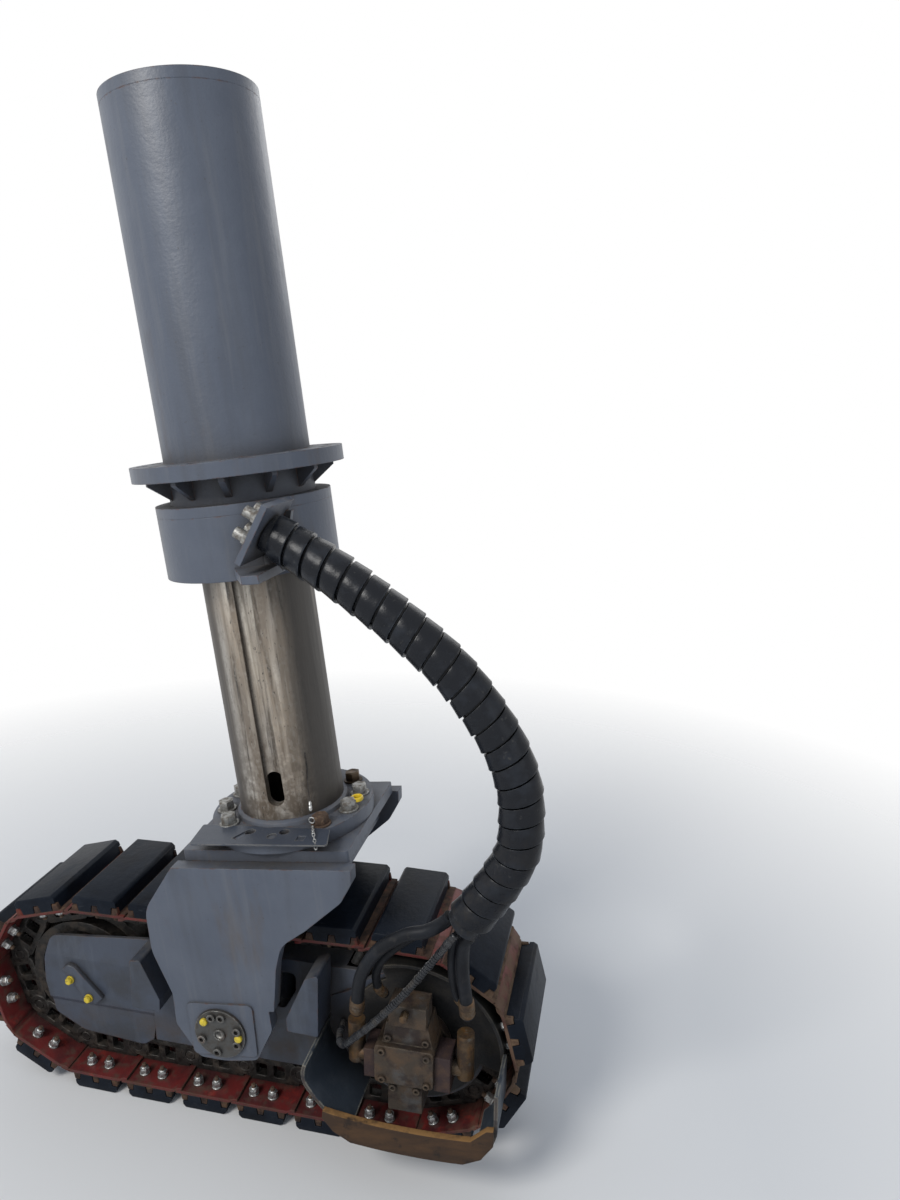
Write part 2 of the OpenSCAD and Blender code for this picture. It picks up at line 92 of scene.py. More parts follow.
def bevelEdges(bm, edges, width, segments):
    bmesh.ops.bevel(bm, geom=edges, offset=width, offset_type="OFFSET", segments=segments, profile=0.5,
                    affect="EDGES", clamp_overlap=True, material=-1)
    return bm


def soften(bm, width, segments=2, angle=35):
    edges = [e for e in bm.edges if len(e.link_faces) == 2 and e.calc_face_angle(0) > math.radians(angle)]
    return bevelEdges(bm, edges, width, segments)


def moved(bm, matrix):
    bmesh.ops.transform(bm, matrix=matrix, verts=bm.verts)
    return bm


def asMesh(bm):
    mesh = bpy.data.meshes.new("part")
    bm.to_mesh(mesh)
    bm.free()
    return mesh


def addCopy(bm, mesh, matrix=origin, slot=None):
    oldVerts, oldFaces = len(bm.verts), len(bm.faces)
    bm.from_mesh(mesh)
    bm.verts.ensure_lookup_table()
    bm.faces.ensure_lookup_table()
    bmesh.ops.transform(bm, matrix=matrix, verts=bm.verts[oldVerts:])
    if slot is not None:
        for face in bm.faces[oldFaces:]:
            face.material_index = slot


def shift(x, y, z):
    return Matrix.Translation((x, y, z))


def turn(degrees, axis):
    return Matrix.Rotation(math.radians(degrees), 4, axis)


def piece(bm, name, materials, body=None, replaced=(), smooth=40):
    mesh = bpy.data.meshes.new(name)
    bmesh.ops.scale(bm, vec=(0.001,) * 3, verts=bm.verts)
    bm.to_mesh(mesh)
    bm.free()
    for material in materials:
        mesh.materials.append(material)
    obj = bpy.data.objects.new(name, mesh)
    scene.collection.objects.link(obj)
    for polygon in mesh.polygons:
        polygon.use_smooth = True
    mesh.set_sharp_from_angle(angle=math.radians(smooth))
    if body:
        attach(obj, body)
    if replaced:
        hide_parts(*replaced)
    return obj


# Node helpers, all in metres
masking = {"samples": 4, "edge": (0.985, 0.9), "crevice": (0.85, 0.35), "seedStep": (1.7, 2.3, 0.9)}
mixSockets = {"RGBA": (6, 7, 2), "FLOAT": (2, 3, 0)}  # a mix node's two inputs and its output


def nodeOf(tree, kind, **values):
    node = tree.nodes.new(kind)
    for key, value in values.items():
        if key in node.inputs:
            node.inputs[key].default_value = value
        else:
            setattr(node, key, value)
    return node


def speckle(tree, scale, stretch, seed):
    coord = nodeOf(tree, "ShaderNodeTexCoord")
    mapping = nodeOf(tree, "ShaderNodeMapping", Location=[seed * s for s in masking["seedStep"]],
                     Scale=[scale * s for s in stretch])
    noise = nodeOf(tree, "ShaderNodeTexNoise", Scale=1.0, Detail=5, Roughness=0.6)
    tree.links.new(coord.outputs["Object"], mapping.inputs["Vector"])
    tree.links.new(mapping.outputs["Vector"], noise.inputs["Vector"])
    return noise.outputs["Fac"]


def ranged(tree, value, low, high, top=1.0):
    node = nodeOf(tree, "ShaderNodeMapRange")
    node.inputs["From Min"].default_value = low
    node.inputs["From Max"].default_value = high
    node.inputs["To Max"].default_value = top
    tree.links.new(value, node.inputs["Value"])
    return node.outputs["Result"]


def combined(tree, operation, a, b):
    node = nodeOf(tree, "ShaderNodeMath", operation=operation)
    tree.links.new(a, node.inputs[0])
    tree.links.new(b, node.inputs[1])
    return node.outputs[0]


def mixed(tree, kind, mask, below, above, linked):
    first, second, result = mixSockets[kind]
    mix = nodeOf(tree, "ShaderNodeMix", data_type=kind)
    mix.inputs[first].default_value = below
    mix.inputs[second].default_value = above
    tree.links.new(mask, mix.inputs[0])
    if linked:
        tree.links.new(linked, mix.inputs[first])
    return mix.outputs[result]


def edgeMask(tree, radius):
    bevel = nodeOf(tree, "ShaderNodeBevel", samples=masking["samples"], Radius=radius)
    geometry = nodeOf(tree, "ShaderNodeNewGeometry")
    dot = nodeOf(tree, "ShaderNodeVectorMath", operation="DOT_PRODUCT")
    tree.links.new(bevel.outputs["Normal"], dot.inputs[0])
    tree.links.new(geometry.outputs["Normal"], dot.inputs[1])
    return ranged(tree, dot.outputs["Value"], *masking["edge"])


# painted shade: this mask is high where the ambient-occlusion node finds crevices, and the coats on it darken them
def creviceMask(tree, distance):
    node = nodeOf(tree, "ShaderNodeAmbientOcclusion", samples=masking["samples"], Distance=distance)
    return ranged(tree, node.outputs["AO"], *masking["crevice"])


def axisMask(tree, vector, axis, low, high):
    split = nodeOf(tree, "ShaderNodeSeparateXYZ")
    tree.links.new(vector, split.inputs[0])
    return ranged(tree, split.outputs[axis], low, high)


def mixedShader(tree, share, first, second):
    node = nodeOf(tree, "ShaderNodeMixShader")
    for number, value in enumerate((share, first, second)):
        tree.links.new(value, node.inputs[number])
    return node.outputs[0]


# A finish is a plain paint or metal with coats over it. A coat shows where all its masks are high: noise of a scale
# and spread, edges (worn edges, and painted highlights in some finishes), crevices (painted shade), a stretch of the
# part along an axis (also painted shade on the column and painted light at the track's right end), and faces that
# look up. A bump is a scale, a height and, where it is drawn out, its stretch
def coat(color, amount, **masks):
    return {"color": color, "amount": amount, **masks}


def finishOf(name, color, rough, metal=0.0, layers=(), bumps=(), rounding=0.0, shine=0.5):
    material = bpy.data.materials.new(name)
    material.use_nodes = True
    tree = material.node_tree
    shader = tree.nodes["Principled BSDF"]
    shader.inputs["Specular IOR Level"].default_value = shine
    channels = {"color": ("RGBA", "Base Color", (*color, 1)), "rough": ("FLOAT", "Roughness", rough),
                "metal": ("FLOAT", "Metallic", metal)}
    now = {}
    for number, layer in enumerate(layers):
        masks = []
        if "scale" in layer:
            noise = speckle(tree, layer["scale"], layer.get("stretch", even), layer.get("seed", number + 1))
            masks.append(ranged(tree, noise, *layer["spread"]))
        if "edge" in layer:
            masks.append(edgeMask(tree, layer["edge"]))
        if "crevice" in layer:
            masks.append(creviceMask(tree, layer["crevice"]))
        if "axis" in layer:
            place = nodeOf(tree, "ShaderNodeTexCoord").outputs["Object"]
            masks.append(axisMask(tree, place, *layer["axis"]))
        if "up" in layer:
            normal = nodeOf(tree, "ShaderNodeNewGeometry").outputs["Normal"]
            masks.append(axisMask(tree, normal, "Z", *layer["up"]))
        mask = masks[0]
        for other in masks[1:]:
            mask = combined(tree, "MULTIPLY", mask, other)
        mask = ranged(tree, mask, 0, 1, layer["amount"])
        for key, (kind, socket, plain) in channels.items():
            if key in layer:
                above = (*layer[key], 1) if kind == "RGBA" else layer[key]
                now[key] = mixed(tree, kind, mask, plain, above, now.get(key))
    for key, (kind, socket, plain) in channels.items():
        shader.inputs[socket].default_value = plain
        if key in now:
            tree.links.new(now[key], shader.inputs[socket])
    normalNow = None
    if rounding:
        bevel = nodeOf(tree, "ShaderNodeBevel", samples=masking["samples"], Radius=rounding)
        normalNow = bevel.outputs["Normal"]
    for number, (scale, height, *stretch) in enumerate(bumps):
        bump = nodeOf(tree, "ShaderNodeBump", Strength=1.0, Distance=height)
        tree.links.new(speckle(tree, scale, stretch or even, number + 11), bump.inputs["Height"])
        if normalNow:
            tree.links.new(normalNow, bump.inputs["Normal"])
        normalNow = bump.outputs["Normal"]
    if normalNow:
        tree.links.new(normalNow, shader.inputs["Normal"])
    return material


even = (1, 1, 1)
upright = (1, 1, 0.12)
rustBrown = (0.10, 0.038, 0.014)
dustGrey = (0.16, 0.15, 0.135)
greaseBlack = (0.012, 0.011, 0.010)

paintLayers = [
    coat((0.105, 0.12, 0.15), 0.6, scale=6, spread=(0.4, 0.7)),
    coat((0.045, 0.048, 0.056), 0.6, scale=13, stretch=upright, spread=(0.48, 0.72)),
    coat((0.12, 0.128, 0.145), 0.45, scale=34, stretch=(1, 1, 0.06), spread=(0.56, 0.7)),
    coat((0.085, 0.062, 0.043), 0.6, scale=11, stretch=(1, 1, 0.25), spread=(0.6, 0.76), rough=0.75, seed=5),
    coat(dustGrey, 0.3, scale=30, up=(0.2, 0.95), spread=(0.4, 0.62), rough=0.85),
    # painted shade: darker in crevices
    coat((0.035, 0.03, 0.026), 0.85, crevice=0.06, rough=0.8),
    coat(rustBrown, 0.8, edge=0.004, scale=60, spread=(0.5, 0.62), rough=0.8),
    coat((0.045, 0.045, 0.05), 0.7, scale=140, spread=(0.66, 0.72)),
]
paintBumps = [(160, 0.0004), (9, 0.002)]
paint = finishOf("greyPaint", (0.070, 0.084, 0.113), 0.42, layers=paintLayers, bumps=paintBumps, rounding=0.0025)
sheetPaint = finishOf("sheetPaint", (0.036, 0.046, 0.066), 0.42, layers=[
    coat((0.034, 0.042, 0.058), 0.7, scale=14, spread=(0.45, 0.68)),
    # pale edges: partly worn paint, partly a painted highlight on the sheet's front lip
    coat((0.33, 0.30, 0.24), 0.8, edge=0.002, scale=30, spread=(0.40, 0.52), rough=0.8),
    coat((0.02, 0.018, 0.016), 0.8, scale=150, spread=(0.66, 0.71)),
], bumps=paintBumps, rounding=0.001)
darkPaint = finishOf("dirtyPaint", (0.040, 0.051, 0.075), 0.44, layers=[
    coat((0.024, 0.026, 0.031), 0.75, scale=11, spread=(0.42, 0.66)),
    coat((0.085, 0.10, 0.125), 0.5, scale=17, stretch=upright, spread=(0.55, 0.72)),
    coat((0.055, 0.040, 0.031), 0.6, scale=14, axis=("Z", -1.22, -1.32), spread=(0.4, 0.6), rough=0.85),
    coat(dustGrey, 0.45, scale=24, up=(0.2, 0.95), spread=(0.35, 0.6), rough=0.85),
    # painted shade: darker in crevices
    coat((0.018, 0.014, 0.012), 0.9, crevice=0.07, rough=0.8),
    coat(rustBrown, 0.8, edge=0.004, scale=50, spread=(0.48, 0.62), rough=0.8),
], bumps=paintBumps, rounding=0.003)
columnSteel = finishOf("columnSteel", (0.64, 0.60, 0.54), 0.3, metal=0.85, layers=[
    coat((0.13, 0.10, 0.072), 0.85, scale=19, stretch=(1, 1, 0.06), spread=(0.40, 0.56), rough=0.5, metal=0.4),
    coat((0.72, 0.67, 0.58), 0.8, scale=44, stretch=(1, 1, 0.04), spread=(0.50, 0.64), rough=0.24,
         axis=("Z", -0.60, -0.45)),
    coat((0.025, 0.020, 0.016), 0.9, scale=54, stretch=(1, 1, 0.06), spread=(0.53, 0.62), rough=0.5, metal=0.1),
    coat((0.36, 0.29, 0.215), 0.75, scale=9, stretch=(1, 1, 0.3), spread=(0.42, 0.66), rough=0.4),
    coat((0.095, 0.070, 0.047), 0.85, scale=42, axis=("Z", -0.48, -0.70), spread=(0.34, 0.54), rough=0.6, metal=0.2),
    coat((0.30, 0.27, 0.23), 0.6, scale=150, stretch=(1, 1, 0.5), spread=(0.5, 0.66)),
    coat((0.020, 0.017, 0.014), 0.8, scale=230, stretch=(1, 1, 0.4), spread=(0.62, 0.7), metal=0.2),
    # painted shade: the column's right flank darker, leaving a light band down the middle as a painted highlight
    coat((0.040, 0.035, 0.030), 0.95, axis=("X", 0.052, 0.092), scale=30, stretch=(1, 1, 0.05), spread=(0.1, 0.4),
         rough=0.55, metal=0.1),
    # painted shade: the column's left flank darker
    coat((0.040, 0.035, 0.031), 0.9, axis=("X", -0.025, -0.07), scale=34, stretch=(1, 1, 0.05), spread=(0.15, 0.42),
         rough=0.55, metal=0.1),
    # painted shade: darker in crevices
    coat((0.02, 0.016, 0.013), 0.9, crevice=0.04, rough=0.6, metal=0.1),
], bumps=[(120, 0.0005, 1, 1, 0.1)], rounding=0.0015)
bareSteel = finishOf("bareSteel", (0.10, 0.10, 0.097), 0.42, metal=0.8, layers=[
    coat((0.05, 0.042, 0.034), 0.8, scale=60, spread=(0.45, 0.62), rough=0.65, metal=0.2),
    coat(rustBrown, 0.6, scale=33, spread=(0.58, 0.7), rough=0.8, metal=0.1),
    coat((0.46, 0.45, 0.42), 0.8, edge=0.002, scale=80, spread=(0.4, 0.6)),
    # painted shade: darker in crevices
    coat((0.012, 0.010, 0.009), 0.95, crevice=0.012, rough=0.7, metal=0.1),
], bumps=[(220, 0.0004)], rounding=0.002)
greasyIron = finishOf("greasyIron", (0.030, 0.028, 0.026), 0.42, metal=0.35, layers=[
    coat((0.075, 0.06, 0.048), 0.75, scale=34, spread=(0.48, 0.68), rough=0.75),
    coat(greaseBlack, 0.8, scale=60, spread=(0.5, 0.62), rough=0.3),
    coat((0.12, 0.11, 0.10), 0.7, edge=0.003, scale=70, spread=(0.4, 0.6), rough=0.35),
], bumps=[(90, 0.0012), (300, 0.0004)], rounding=0.002, shine=0.25)
trackRed = finishOf("trackRed", (0.115, 0.014, 0.013), 0.45, layers=[
    coat((0.040, 0.011, 0.012), 0.85, scale=13, spread=(0.42, 0.62)),
    coat((0.060, 0.032, 0.022), 0.8, scale=36, spread=(0.5, 0.64), rough=0.8),
    coat((0.24, 0.026, 0.018), 0.7, scale=22, spread=(0.6, 0.72)),
    coat((0.075, 0.042, 0.026), 0.9, edge=0.006, scale=28, spread=(0.35, 0.5), rough=0.85),
    # painted light: the shoes lighter and tan at the track's right end, where light falls on them
    coat((0.13, 0.083, 0.052), 0.8, axis=("X", 0.30, 0.42), scale=26, spread=(0.38, 0.54), rough=0.8),
    # painted shade: darker in crevices and between parts
    coat((0.014, 0.010, 0.009), 0.8, crevice=0.035),
], bumps=[(120, 0.0006)], rounding=0.0015, shine=0.3)
cleatRust = finishOf("cleatRust", (0.055, 0.033, 0.024), 0.8, layers=[
    coat((0.115, 0.066, 0.038), 0.7, scale=60, spread=(0.48, 0.66)),
    coat((0.018, 0.013, 0.012), 0.8, scale=35, spread=(0.48, 0.62)),
    coat((0.13, 0.014, 0.011), 0.6, scale=18, spread=(0.57, 0.66), rough=0.5),
    # painted light: the cleats lighter and tan at the track's right end, where light falls on them
    coat((0.16, 0.105, 0.066), 0.8, axis=("X", 0.30, 0.42), scale=26, spread=(0.4, 0.56)),
], bumps=[(150, 0.0008)], rounding=0.0012, shine=0.15)
padRubber = finishOf("padRubber", (0.0085, 0.0115, 0.0175), 0.36, layers=[
    coat((0.020, 0.025, 0.034), 0.6, scale=20, stretch=(1, 0.4, 1), spread=(0.5, 0.74), rough=0.55),
    coat((0.060, 0.065, 0.074), 0.4, scale=90, stretch=(0.35, 1.2, 1), spread=(0.64, 0.75), rough=0.7),
    coat((0.034, 0.039, 0.048), 0.6, edge=0.004, scale=40, spread=(0.35, 0.6), rough=0.65),
    coat((0.0035, 0.0035, 0.0045), 0.6, scale=12, spread=(0.5, 0.7)),
], bumps=[(60, 0.0008), (260, 0.0003)], rounding=0.002, shine=0.06)
castIron = finishOf("castIron", (0.050, 0.038, 0.028), 0.62, layers=[
    coat((0.085, 0.053, 0.031), 0.85, scale=26, spread=(0.42, 0.62)),
    coat((0.070, 0.074, 0.076), 0.7, scale=15, spread=(0.54, 0.66), rough=0.5),
    coat((0.020, 0.013, 0.012), 0.85, scale=20, spread=(0.52, 0.64), seed=7),
    # painted shade: darker in crevices
    coat((0.012, 0.009, 0.007), 0.9, crevice=0.035),
    coat((0.15, 0.12, 0.085), 0.7, edge=0.004, scale=70, spread=(0.42, 0.6), rough=0.6),
], bumps=[(110, 0.0014), (380, 0.0005)], rounding=0.004, shine=0.3)
portIron = finishOf("portIron", (0.040, 0.026, 0.026), 0.62, layers=[
    coat((0.075, 0.045, 0.032), 0.8, scale=34, spread=(0.45, 0.65)),
    # painted shade: darker in crevices
    coat((0.014, 0.010, 0.010), 0.8, crevice=0.03),
], bumps=[(130, 0.001)], rounding=0.004, shine=0.25)
fittingYellow = finishOf("fittingYellow", (0.085, 0.052, 0.024), 0.45, metal=0.3, layers=[
    coat((0.15, 0.072, 0.022), 0.8, scale=50, spread=(0.5, 0.66)),
    coat((0.026, 0.016, 0.011), 0.85, scale=34, spread=(0.46, 0.62), rough=0.8),
    coat((0.13, 0.125, 0.11), 0.6, scale=70, spread=(0.6, 0.7), rough=0.4),
    # painted shade: darker in crevices
    coat((0.010, 0.008, 0.007), 0.8, crevice=0.02),
], bumps=[(180, 0.0007)], rounding=0.002)
guardPaint = finishOf("guardPaint", (0.033, 0.042, 0.054), 0.4, layers=[
    coat((0.055, 0.064, 0.076), 0.6, scale=24, spread=(0.5, 0.7)),
    coat((0.34, 0.32, 0.26), 0.9, edge=0.007, scale=26, spread=(0.42, 0.5), rough=0.8),
    coat((0.045, 0.027, 0.017), 1.0, axis=("Y", -0.2457, -0.2463), rough=0.85),
    coat((0.085, 0.046, 0.023), 0.75, axis=("Y", -0.2457, -0.2463), scale=18, stretch=(0.4, 1, 1.5),
         spread=(0.45, 0.62)),
    coat((0.26, 0.14, 0.05), 0.9, axis=("Y", -0.2455, -0.2460), up=(0.2, 0.7), scale=30, spread=(0.25, 0.5)),
    coat((0.018, 0.014, 0.012), 0.8, axis=("Y", -0.2457, -0.2463), scale=26, spread=(0.56, 0.66)),
    # painted shade: darker in crevices
    coat((0.010, 0.010, 0.010), 0.8, crevice=0.06),
], bumps=[(90, 0.0006)], rounding=0.0025, shine=0.25)
cowlSteel = finishOf("cowlSteel", (0.022, 0.022, 0.023), 0.45, layers=[
    coat((0.050, 0.044, 0.038), 0.75, scale=20, spread=(0.46, 0.66), rough=0.7),
    coat((0.105, 0.092, 0.07), 0.8, edge=0.005, scale=40, spread=(0.4, 0.6), rough=0.7),
    # painted shade: darker in crevices
    coat((0.006, 0.006, 0.005), 0.8, crevice=0.06),
], bumps=[(60, 0.0009)], rounding=0.003, shine=0.15)
hoseRubber = finishOf("hoseRubber", (0.0085, 0.0095, 0.012), 0.46, layers=[
    coat((0.035, 0.033, 0.032), 0.6, scale=55, spread=(0.56, 0.7), rough=0.8),
    coat((0.018, 0.021, 0.027), 0.6, scale=16, spread=(0.45, 0.7)),
], bumps=[(420, 0.0003)], shine=0.15)
guardPlastic = finishOf("guardPlastic", (0.0085, 0.0100, 0.0135), 0.27, layers=[
    coat((0.026, 0.031, 0.040), 0.55, scale=24, spread=(0.5, 0.72), rough=0.4),
    coat((0.080, 0.076, 0.068), 0.5, scale=75, spread=(0.64, 0.75), rough=0.75),
    # lighter band edges: partly wear, partly a painted highlight
    coat((0.10, 0.115, 0.135), 0.7, edge=0.003, scale=50, spread=(0.45, 0.6)),
    coat((0.030, 0.025, 0.020), 0.6, axis=("Z", -0.62, -0.95), scale=30, spread=(0.48, 0.65), rough=0.7),
    # painted shade: darker in crevices
    coat((0.0025, 0.0025, 0.003), 0.9, crevice=0.012),
], bumps=[(150, 0.0005)], rounding=0.001, shine=0.18)
zinc = finishOf("zinc", (0.42, 0.43, 0.43), 0.36, metal=0.9, layers=[
    coat((0.14, 0.12, 0.10), 0.75, scale=160, spread=(0.5, 0.64), rough=0.6, metal=0.4),
    coat((0.60, 0.61, 0.61), 0.6, scale=90, spread=(0.55, 0.7)),
], bumps=[(300, 0.0003)], rounding=0.0006)
dullZinc = finishOf("dullZinc", (0.26, 0.26, 0.25), 0.45, metal=0.7, layers=[
    coat((0.09, 0.07, 0.05), 0.8, scale=110, spread=(0.46, 0.62), rough=0.7, metal=0.2),
    coat((0.42, 0.42, 0.40), 0.7, scale=60, spread=(0.56, 0.7)),
], bumps=[(300, 0.0003)], rounding=0.001)
threadRust = finishOf("threadRust", (0.075, 0.044, 0.027), 0.8, metal=0.1, layers=[
    coat((0.05, 0.03, 0.02), 0.8, scale=200, spread=(0.45, 0.6)),
    coat((0.22, 0.15, 0.09), 0.7, scale=120, spread=(0.55, 0.7)),
], bumps=[(500, 0.0005)])
yellowCap = finishOf("yellowCap", (0.66, 0.50, 0.03), 0.45, layers=[
    coat((0.30, 0.23, 0.05), 0.7, scale=130, spread=(0.5, 0.66), rough=0.6),
    # painted shade: darker in crevices
    coat((0.10, 0.08, 0.04), 0.6, crevice=0.01),
], bumps=[(220, 0.0004)], rounding=0.001)
capYellow = finishOf("capYellow", (0.72, 0.50, 0.02), 0.4, rounding=0.001)
ribPlastic = finishOf("ribPlastic", (0.0095, 0.0105, 0.0135), 0.3, layers=[
    # painted highlight: lighter rib edges
    coat((0.15, 0.16, 0.17), 0.7, edge=0.0012, scale=60, spread=(0.4, 0.6)),
    coat((0.05, 0.043, 0.036), 0.6, scale=40, spread=(0.52, 0.66), rough=0.7),
], shine=0.4)
bronze = finishOf("bronze", (0.30, 0.18, 0.08), 0.4, metal=0.8, layers=[
    coat((0.08, 0.05, 0.025), 0.8, scale=40, stretch=(1, 1, 0.2), spread=(0.45, 0.62), rough=0.6),
], bumps=[(200, 0.0003)])
print("finishes made")

nodeFinish = {
    paint: ["guide_sleeve", "guide_cap", "steer_ring", "ring_retainer", "hose_bracket", "foot_flange", "top_plate",
            "yoke_webs", "outer_leg", "inner_leg"],
    sheetPaint: ["sheet_bracket"],
    darkPaint: ["track_frame", "outer_cover", "inner_cover", "stop_blocks"],
    columnSteel: ["column"],
    bareSteel: ["ring_key", "pivot_pins"],
    bronze: ["guide_bush", "column_band"],
    dullZinc: ["hose_couplings"],
    greasyIron: ["top_skid", "idler", "rollers", "sprocket", "final_drive"],
    cowlSteel: ["drive_cowl"],
    castIron: ["motor_body"],
    portIron: ["motor_ports"],
    fittingYellow: ["port_elbows"],
}
for finish, names in nodeFinish.items():
    for name in names:
        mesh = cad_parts[name].data
        mesh.materials.clear()
        mesh.materials.append(finish)


# Fasteners, each with its seat at the origin and its head along +Z
def hexPrism(across, height, chamfer=0.8):
    bm = newMesh()
    corner = across / math.sqrt(3)
    bmesh.ops.create_cone(bm, cap_ends=True, segments=6, radius1=corner, radius2=corner, depth=height)
    bmesh.ops.translate(bm, verts=bm.verts, vec=(0, 0, height / 2))
    rim = [e for e in bm.edges if abs(e.verts[0].co.z - e.verts[1].co.z) < 0.01]
    return bevelEdges(bm, rim, chamfer, 2)


def joined(*parts):  # (bmesh, slot) pairs become one mesh
    bm = newMesh()
    for part, slot in parts:
        addCopy(bm, asMesh(part), slot=slot)
    return asMesh(bm)


def washer(radius, height, edge=0.6):
    return lathe([(0, 0), (radius - edge, 0), (radius, edge), (radius, height - edge), (radius - edge, height),
                  (0, height)], 28)


def stud(radius, z0, z1):
    return lathe([(0, z0), (radius, z0), (radius, z1 - 2), (radius - 1.5, z1), (0, z1)], 14)


def nutWithStud(across, height, proud, seat=3):
    top = seat + height
    collar = lathe([(across * 0.36, top), (across * 0.40, top + 1.6), (across * 0.34, top + 3), (0, top + 3)], 18)
    return joined((washer(across * 0.62, seat), 0), (moved(hexPrism(across, height), shift(0, 0, seat)), 0),
                  (collar, 0), (stud(across * 0.27, seat - 1, top + proud), 1))


def hexBolt(across, height, washerRadius, seat=4):
    crown = lathe([(0, 0), (across * 0.44, 0), (across * 0.44, 0.6), (across * 0.34, 1.2), (across * 0.3, 0.7),
                   (0, 0.7)], 20)
    return joined((washer(washerRadius, seat), 0), (moved(hexPrism(across, height, 1.4), shift(0, 0, seat)), 0),
                  (moved(crown, shift(0, 0, seat + height)), 0))


def socketScrew(radius, height, edge=1.2):
    socket, bottom = radius * 0.55, height - radius * 0.7
    return joined((lathe([(radius, 0), (radius, height - edge), (radius - edge, height), (socket, height),
                          (socket * 0.96, bottom), (0, bottom)], 24), 0))


def dome(radius, height):
    return joined((lathe([(radius, 0), (radius, height * 0.55), (radius * 0.93, height * 0.85),
                          (radius * 0.75, height), (0, height * 1.04)], 24), 0))


# The track is laid out about the fork's pivot, before it tilts
pivot = Vector((-160, 0, -1205))
tilt = 6.9
trackPlace = Matrix.Translation(pivot) @ turn(tilt, "Y")
track = {"pitch": 140, "shoes": 20, "sprocketStep": 720 / 17, "idlerStep": 45, "middle": -7, "sprocketZ": -16,
         "phase": -5 / 140, "shoeIn": 34, "shoeThick": 8, "padHeight": 36, "padLength": 110, "halfWidth": 130,
         "railIn": 36, "railOut": 58, "leastBend": 0.2}
pitch = track["pitch"]
sprocketLinks, idlerLinks = 180 / track["sprocketStep"], 180 / track["idlerStep"]
sprocketR = pitch / 2 / math.sin(math.radians(track["sprocketStep"] / 2))
idlerR = pitch / 2 / math.sin(math.radians(track["idlerStep"] / 2))
straight = (track["shoes"] - sprocketLinks - idlerLinks) * pitch / 2
sprocketX = track["middle"] + straight / 2
idlerX = track["middle"] - straight / 2
chainBottom = track["sprocketZ"] - sprocketR
idlerZ = chainBottom + idlerR


def pinAt(k):  # the chain's pins in the track's own plane
    s = k - track["phase"]
    run = straight / pitch
    onIdler = s - run
    onTop = onIdler - idlerLinks
    if 0 <= s < run:
        return Vector((sprocketX - s * pitch, chainBottom))
    if 0 <= onIdler < idlerLinks:
        a = math.radians(onIdler * track["idlerStep"])
        return Vector((idlerX - idlerR * math.sin(a), idlerZ - idlerR * math.cos(a)))
    if 0 <= onTop < run:
        return Vector((idlerX + onTop * pitch, idlerZ + idlerR + (sprocketR - idlerR) * 2 * onTop / run))
    a = math.radians(180 + s * track["sprocketStep"] if s < 0 else (onTop - run) * track["sprocketStep"])
    return Vector((sprocketX + sprocketR * math.sin(a), track["sprocketZ"] + sprocketR * math.cos(a)))


def linkPlaces():
    for k in range(track["shoes"]):
        p, q = pinAt(k), pinAt((k + 1) % track["shoes"])
        middle = (p + q) / 2
        angle = math.degrees(math.atan2(q.y - p.y, q.x - p.x)) + 180
        yield trackPlace @ shift(middle.x, 0, middle.y) @ turn(-angle, "Y")


def bendPlaces():  # the pins where the chain turns, each facing outwards between its two links
    for k in range(track["shoes"]):
        before, pin, after = pinAt((k - 1) % track["shoes"]), pinAt(k), pinAt((k + 1) % track["shoes"])
        a, b = (math.atan2(w.y, w.x) for w in (pin - before, after - pin))
        bend = (b - a + math.pi) % (2 * math.pi) - math.pi
        if abs(bend) > track["leastBend"]:
            yield trackPlace @ shift(pin.x, 0, pin.y) @ turn(-math.degrees(a + bend / 2) - 180, "Y"), abs(bend)


shoeForm = {"back": -72, "front": 84, "cleatsX": (-50, 0, 50), "cleatDepth": 16, "cleatLength": 10,
            "boltsX": (-29, 18), "boltsY": (-98, 98), "nut": 19, "nutHeight": 13, "studProud": 11, "nutTurn": 17}


def shoeMesh():
    inner, outer = -track["shoeIn"], -track["shoeIn"] - track["shoeThick"]
    half, back, front = track["halfWidth"], shoeForm["back"], shoeForm["front"]
    plate = slab([(back, inner), (58, inner), (66, inner + 1.5), (73, inner + 6), (front, inner + 6.5),
                  (front, inner + 0.5), (76, inner), (69, outer + 5), (64, outer + 1.5), (58, outer), (back, outer)],
                 -half, half)
    soften(plate, 1.0, 2, 50)
    for face in plate.faces:
        spot = face.calc_center_median()
        face.material_index = int(spot.z < outer + 1 or spot.x < back + 0.5 or spot.x > front - 0.5)
    whole = newMesh()
    addCopy(whole, asMesh(plate))
    tip = outer - shoeForm["cleatDepth"]
    cleat = slab([(-9, outer + 1), (9, outer + 1), (6, tip), (-6, tip)], -half + 0.5, -half + shoeForm["cleatLength"])
    cleat = asMesh(soften(cleat, 1.2))
    for x in shoeForm["cleatsX"]:
        for side in (origin, mirrored):
            addCopy(whole, cleat, shift(x, 0, 0) @ side, slot=1)
    nut = nutWithStud(shoeForm["nut"], shoeForm["nutHeight"], shoeForm["studProud"])
    for x in shoeForm["boltsX"]:
        for y in shoeForm["boltsY"]:
            addCopy(whole, nut, shift(x, y, inner) @ turn(shoeForm["nutTurn"] * x % 60, "Z"))
    outward(whole)
    for face in whole.faces:  # the nuts and studs, which stand on the plate, have the last two slots
        spot = face.calc_center_median()
        if spot.z > inner + 0.2 and abs(spot.x) < 50:
            face.material_index += 2
    return asMesh(whole)


